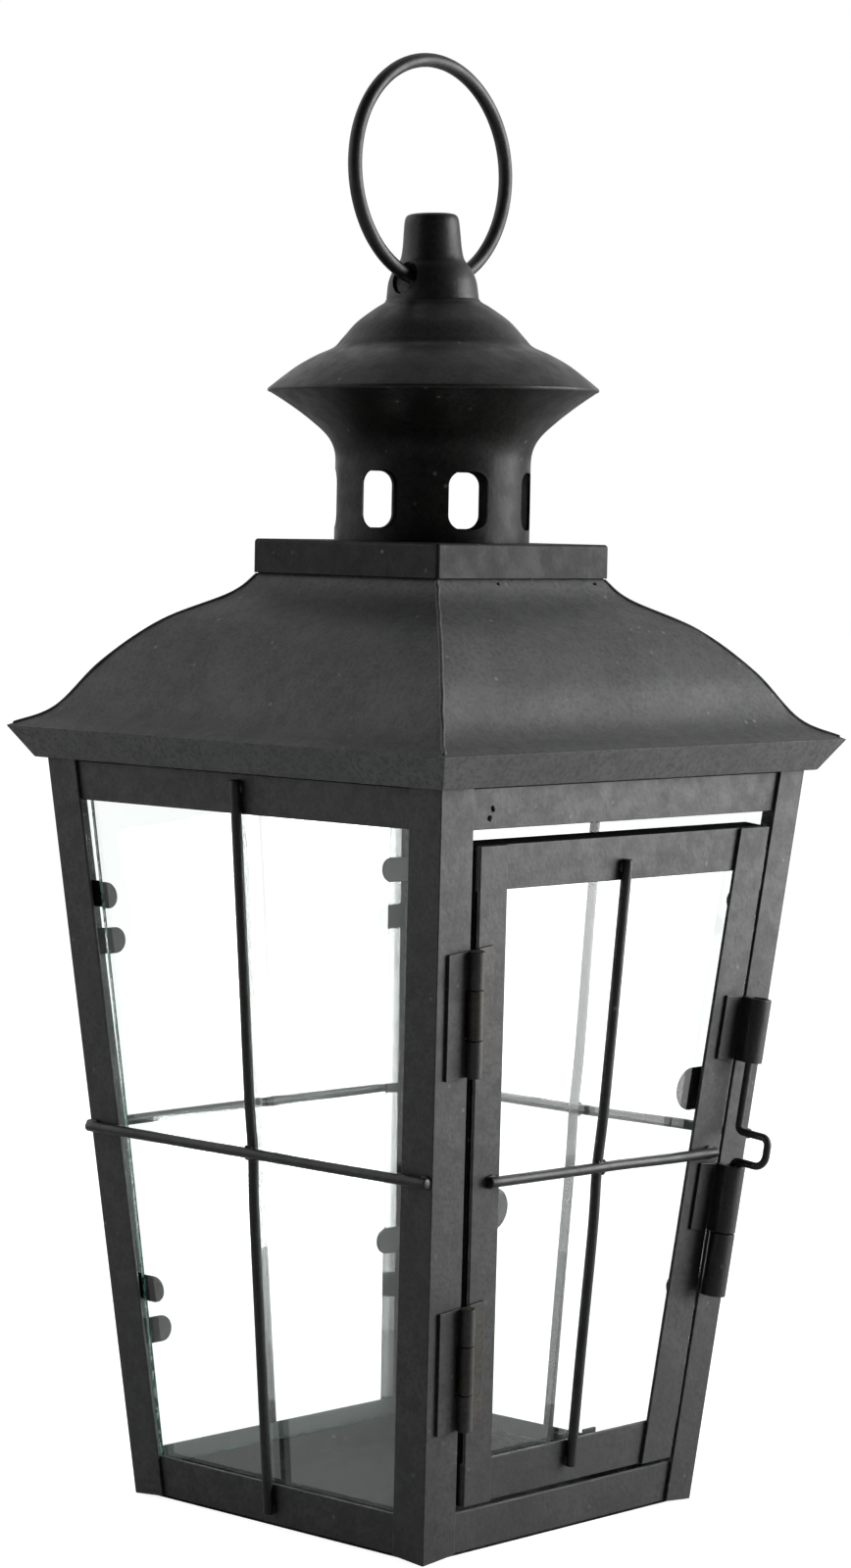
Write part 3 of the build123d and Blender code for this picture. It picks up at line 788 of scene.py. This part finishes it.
def make_roof():
    """Hipped roof of thin sheet, with soft dents that fade out at its foot and its top."""
    across = 44
    wall = 1.0 * mm
    line = roof_profile()
    count = len(line) - 1
    dents = [0.0]
    dents += [roof_dent * math.sin(math.pi * (number / count)) ** 0.6 for number in range(1, count)]
    dents.append(0.0)
    levels = list(zip(line, dents))
    bm = bmesh.new()
    rings = [add_roof_ring(bm, point.x, point.y, 0.0, across, dent) for point, dent in levels]
    rings += [add_roof_ring(bm, point.x, point.y, wall, across, dent) for point, dent in reversed(levels)]
    around = len(rings[0])
    for lower, upper in zip(rings, rings[1:] + rings[:1]):
        for number in range(around):
            after = (number + 1) % around
            bm.faces.new((lower[number], lower[after], upper[after], upper[number]))
    finish_mesh(bm, thin_sharp)
    piece("roof_sheet", bm, "frame", "black_paint", [roof_lit_paint], "roof_shell")


def make_hip_seams():
    """Thin uneven welds down the four hips of the roof."""
    bm = bmesh.new()
    line = roof_profile()
    for quarter in range(4):
        turn = Matrix.Rotation(quarter * math.pi / 2, 3, "Z")
        points = []
        for number, point in enumerate(line[1:-1]):
            stray = seam_stray * noise.noise(Vector((number * 0.37, quarter * 5.1, 0)))
            corner = Vector((-point.x, -point.x, point.y)) + Vector((stray, -stray, 0))
            points.append(turn @ (corner + Vector((0.25, 0.25, 0)) * mm))
        add_tube(bm, points, seam_radius, around=10)
    finish_mesh(bm, wire_sharp)
    piece("roof_hip_welds", bm, "frame", "black_paint", [roof_lit_paint])


def make_collar():
    """Shallow square collar with its rims rounded; its corners are round in the CAD already."""
    bm = node_bmesh("roof_collar")
    rims = [edge for edge in bm.edges if edge.calc_face_angle(0) > rim_turn]
    bmesh.ops.bevel(
        bm, geom=rims, offset=rim_round, segments=2, profile=0.5, affect="EDGES", clamp_overlap=True,
    )
    finish_mesh(bm, sheet_sharp)
    even_normals(piece("roof_collar_coated", bm, "frame", "black_paint", [collar_shaded_paint], "roof_collar"))


def make_spatter(name, node, size, spots):
    """Specks of dark weld spatter on the -Y face of a node, at the given X and Z."""
    shape = node_bmesh(node)
    surface = BVHTree.FromBMesh(shape)
    shape.free()
    bm = bmesh.new()
    for number, (x, z) in enumerate(spots):
        spot = surface.ray_cast(Vector((x * mm, -eave_half * 2, z * mm)), Vector((0, 1, 0)))[0]
        add_lump(bm, spot, Vector((1.0, 0.5, 1.2)) * size, number * 2.3, 0.5)
    finish_mesh(bm, wire_sharp)
    piece(name, bm, "frame", "black_paint", [shade_and_spatter_paint])


make_roof()
make_hip_seams()
make_collar()
make_spatter("rail_spatter", "top_rail_front", 0.6 * mm, ((-48.3, 182.0), (-49.2, 179.8)))
make_spatter("roof_spatter", "roof_shell", 0.5 * mm, ((-9.8, 233.0), (26.2, 232.9)))


# ---------------------------------------------------------------- chimney, cap and finial
flare_foot = 262 * mm
rim_lean = -0.8
finial_lean = -1.6

# Outlines from the bottom up: radius, and height over the piece's foot, in millimetres
cap_outline = (
    (37.9, 3.7), (33.7, 6.8), (29.2, 9.3), (25.0, 11.2), (22.9, 13.4), (19.2, 17.5), (14.6, 20.9),
    (12.3, 22.3),
)
finial_outline = (
    (11.6, 0.0), (11.5, 1.2), (11.0, 4.6), (9.7, 7.6), (8.1, 9.8), (7.45, 12.6), (7.1, 16.5), (6.75, 19.7),
    (6.1, 20.9), (4.9, 21.3),
)


def lean_top(bm):
    """Crooked set of the top: the flare, cap, finial and ring lean more the higher they are."""
    across = Vector((look.x, look.y, 0)).normalized()
    levels = ((flare_foot, 0.0), (cap_low.z, rim_lean), (cap_high.z, finial_lean))
    for vert in bm.verts:
        moved = vert.co.copy()
        for (low, before), (high, after) in reversed(list(zip(levels, levels[1:]))):
            share = min(1.0, max(0.0, (vert.co.z - low) / (high - low)))
            turn = Matrix.Rotation(math.radians((after - before) * share), 3, across)
            pivot = Vector((0, 0, low))
            moved = pivot + turn @ (moved - pivot)
        vert.co = moved


def make_chimney():
    """Chimney with its slots, as the CAD has it, its flare leaning with the cap."""
    bm = bmesh.new()
    bm.from_mesh(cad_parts["chimney"].data)
    bmesh.ops.remove_doubles(bm, verts=bm.verts, dist=1e-6)
    lean_top(bm)
    finish_mesh(bm, thin_sharp)
    piece("chimney_spun", bm, "frame", "black_paint", [chimney_shaded_paint], "chimney")


def make_cap():
    """Spun cap: rolled rim, domed brim, bell and hollow inside."""
    rim_radius = cap_high.x
    base = cap_low.z
    outside = [(rim_radius - 0.25 * mm, base + 1.0 * mm, 0)]
    outside += [(radius * mm, base + height * mm, 0) for radius, height in cap_outline]
    outside = smooth_line([*outside, (11.7 * mm, cap_high.z, 0)], 6)
    wall = 0.7 * mm
    lip = [
        (rim_radius - wall, base),
        (rim_radius - 0.2 * mm, base + 0.05 * mm),
        (rim_radius, base + 0.35 * mm),
        (rim_radius - 0.03 * mm, base + 0.75 * mm),
    ]
    outer = [(point.x, point.y) for point in outside]
    inner = [(point.x - wall, point.y - wall) for point in reversed(outside)]
    bm = lathe(lip + outer + inner, 160, 0.10 * mm, 3.0)
    lean_top(bm)
    finish_mesh(bm, spun_sharp)
    piece("cap_spun", bm, "frame", "black_paint", [spun_paint], "cap")


def make_finial():
    """Hollow finial with a soft shoulder and a rounded top, bored across for the ring."""
    lowered_points = 14
    bore_height, bore_radius, bore_reach = 5.1 * mm, 4.0 * mm, 20 * mm
    base = finial_low.z
    outside = smooth_line([(radius * mm, base + height * mm, 0) for radius, height in finial_outline], 6)
    wall = 1.3 * mm
    outer = [(point.x, point.y) for point in outside] + [(0.0, finial_high.z)]
    inner = [(0.0, finial_high.z - wall)]
    for number, point in enumerate(reversed(outside)):
        inner.append((point.x - wall, point.y - wall if number < lowered_points else point.y))
    bm = lathe(outer + inner, 96, 0.12 * mm, 8.0)
    finish_mesh(bm, spun_sharp)
    obj = piece("finial_spun", bm, "frame", "black_paint", [spun_paint], "finial")
    drill = bmesh.new()
    hole = Vector((0, 0, base + bore_height))
    add_tube(drill, [hole + Vector((x * bore_reach, 0, 0)) for x in (-1, 0, 1)], bore_radius, around=48)
    cutter_mesh = bpy.data.meshes.new("drill")
    bmesh.ops.recalc_face_normals(drill, faces=drill.faces)
    drill.to_mesh(cutter_mesh)
    drill.free()
    cutter = bpy.data.objects.new("drill", cutter_mesh)
    bpy.context.scene.collection.objects.link(cutter)
    bored = obj.modifiers.new("bored", "BOOLEAN")
    bored.operation = "DIFFERENCE"
    bored.solver = "EXACT"
    bored.object = cutter
    bpy.context.view_layer.update()
    result = bpy.data.meshes.new_from_object(obj.evaluated_get(bpy.context.evaluated_depsgraph_get()))
    obj.modifiers.clear()
    obj.data = result
    result.name = "finial_spun"
    bpy.data.objects.remove(cutter)
    bm = bmesh.new()
    bm.from_mesh(result)
    lean_top(bm)
    bm.to_mesh(result)
    bm.free()


def make_ring():
    """Hanging ring of round wire, very slightly out of round, butt-welded inside the finial."""
    centre = (ring_low + ring_high) / 2
    wire = (ring_high.y - ring_low.y) / 2
    radius = ring_high.x - wire
    points = []
    count = 180
    for number in range(count):
        angle = 2 * math.pi * number / count
        uneven = 1 + 0.004 * math.sin(3 * angle + 0.6)
        points.append(centre + Vector((math.cos(angle) * radius * uneven, 0, math.sin(angle) * radius)))
    bm = bmesh.new()
    add_tube(bm, points, wire, around=24, closed=True)
    add_lump(bm, centre - Vector((0.4 * mm, 0, radius)), Vector((1.2, 1.9, 1.9)) * mm, 4.4, 0.12)
    lean_top(bm)
    finish_mesh(bm, wire_sharp)
    piece("ring_wire", bm, "ring", "black_paint", [wire_paint], "hanging_ring")


make_chimney()
make_cap()
make_finial()
make_ring()


# ---------------------------------------------------------------- CAD nodes that keep their shape
def coat_node(node, material):
    """New material on a CAD node that is shown as it is."""
    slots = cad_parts[node].data.materials
    slots.clear()
    slots.append(material)


coat_node("bolt_pin", wire_paint)
for place in hinge_places:
    coat_node(f"hinge_pin_{place}", pin_material)
